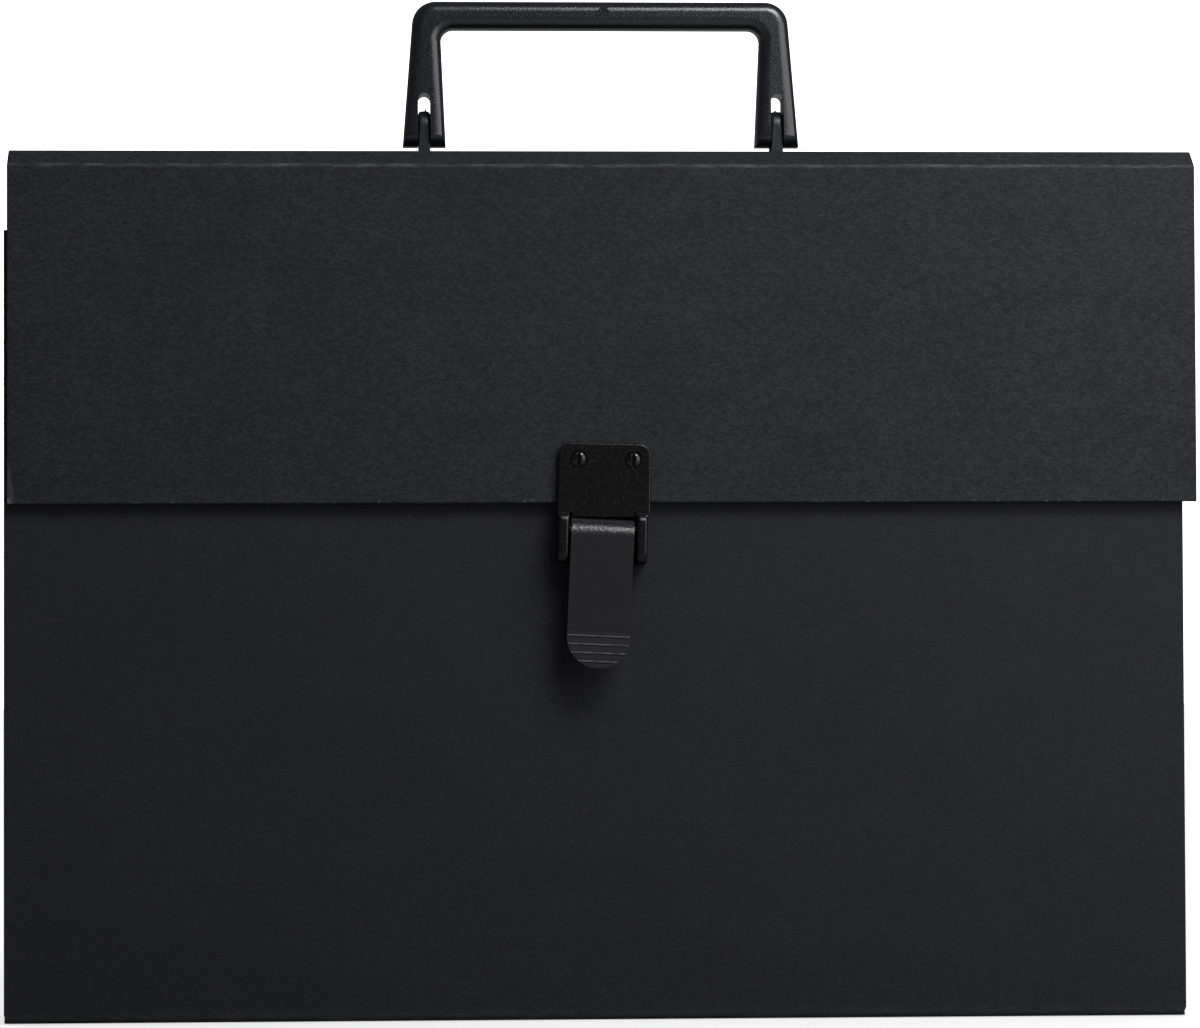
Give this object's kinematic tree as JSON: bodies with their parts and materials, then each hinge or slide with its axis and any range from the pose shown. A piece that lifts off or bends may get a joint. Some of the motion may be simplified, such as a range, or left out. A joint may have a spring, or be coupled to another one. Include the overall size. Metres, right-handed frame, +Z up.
{
  "type": "sorting folder",
  "caption": "Flat black board document case with fanning index pockets, a closing flap with a lever latch, and a swinging carrying handle on its narrow top.",
  "frame": {"origin": "centre of the flat underside of the bottom panel, which the folder stands on", "axes": "+X along the width to the right as seen from the front, +Y from the front to the back, +Z up"},
  "size_m": [0.3385, 0.0491, 0.291],
  "materials": {
    "board": "matte black kraft",
    "gusset_paper": "matte black paper",
    "card": "matte black card",
    "label_paper": "matte off-white",
    "handle_plastic": "satin, fine spark texture",
    "latch_plastic": "satin, fine spark texture",
    "lever_plastic": "satin",
    "steel": "satin"
  },
  "bodies": {
    "case": {"back_cover": "board", "bottom_panel": "board", "gusset_left": "gusset_paper", "gusset_right": "gusset_paper"},
    "front": {"front_cover": "board", "catch_block": "latch_plastic", "catch_backing": "latch_plastic"},
    "lid": {"top_panel": "board", "handle_loop_left": "handle_plastic", "handle_loop_right": "handle_plastic", "handle_backing_left": "handle_plastic", "handle_backing_right": "handle_plastic"},
    "flap": {"flap_panel": "board", "latch_plate": "latch_plastic", "latch_backing": "latch_plastic", "latch_pin": "steel"},
    "lever": {"latch_lever": "lever_plastic"},
    "handle": {"handle_grip": "handle_plastic"},
    "divider_1_leaf": {"divider_1": "card", "index_label_1": "label_paper"},
    "divider_2_leaf": {"divider_2": "card", "index_label_2": "label_paper"},
    "divider_3_leaf": {"divider_3": "card", "index_label_3": "label_paper"},
    "divider_4_leaf": {"divider_4": "card", "index_label_4": "label_paper"},
    "divider_5_leaf": {"divider_5": "card", "index_label_5": "label_paper"}
  },
  "joints": [
    {"name": "lid_lift", "type": "hinge", "parent": "case", "child": "lid", "pos_m": [0, 0.019, 0.2421], "axis": [-1, 0, 0], "range_deg": [0, 90]},
    {"name": "flap_lift", "type": "hinge", "parent": "lid", "child": "flap", "pos_m": [0, -0.0223, 0.2421], "axis": [-1, 0, 0], "range_deg": [0, 90]},
    {"name": "lever_swing", "type": "hinge", "parent": "flap", "child": "lever", "pos_m": [0.0013, -0.0246, 0.1387], "axis": [-0.9998, 0, 0.0209], "range_deg": [0, 95]},
    {"name": "handle_swing", "type": "hinge", "parent": "lid", "child": "handle", "pos_m": [0.0023, -0.00165, 0.2551], "axis": [1, 0, 0], "range_deg": [-85, 85]},
    {"name": "front_fan", "type": "hinge", "parent": "case", "child": "front", "pos_m": [0, -0.019, 0], "axis": [1, 0, 0], "range_deg": [0, 8.1], "deforming": ["gusset_left", "gusset_right"]},
    {"name": "divider_1_fan", "type": "hinge", "parent": "case", "child": "divider_1_leaf", "pos_m": [0, 0.0116, 0.0023], "axis": [1, 0, 0], "range_deg": [0, 0.5481]},
    {"name": "divider_2_fan", "type": "hinge", "parent": "case", "child": "divider_2_leaf", "pos_m": [0, 0.0058, 0.0023], "axis": [1, 0, 0], "range_deg": [0, 2.06]},
    {"name": "divider_3_fan", "type": "hinge", "parent": "case", "child": "divider_3_leaf", "pos_m": [0, 0, 0.0023], "axis": [1, 0, 0], "range_deg": [0, 4.05]},
    {"name": "divider_4_fan", "type": "hinge", "parent": "case", "child": "divider_4_leaf", "pos_m": [0, -0.0058, 0.0023], "axis": [1, 0, 0], "range_deg": [0, 6.04]},
    {"name": "divider_5_fan", "type": "hinge", "parent": "case", "child": "divider_5_leaf", "pos_m": [0, -0.0116, 0.0023], "axis": [1, 0, 0], "range_deg": [0, 7.55]}
  ],
  "couplings": [
    {"joint": "front_fan", "follows": "lid_lift", "ratio": 0.09},
    {"joint": "divider_1_fan", "follows": "lid_lift", "ratio": 0.00609},
    {"joint": "divider_2_fan", "follows": "lid_lift", "ratio": 0.022864},
    {"joint": "divider_3_fan", "follows": "lid_lift", "ratio": 0.045},
    {"joint": "divider_4_fan", "follows": "lid_lift", "ratio": 0.067136},
    {"joint": "divider_5_fan", "follows": "lid_lift", "ratio": 0.08391}
  ]
}
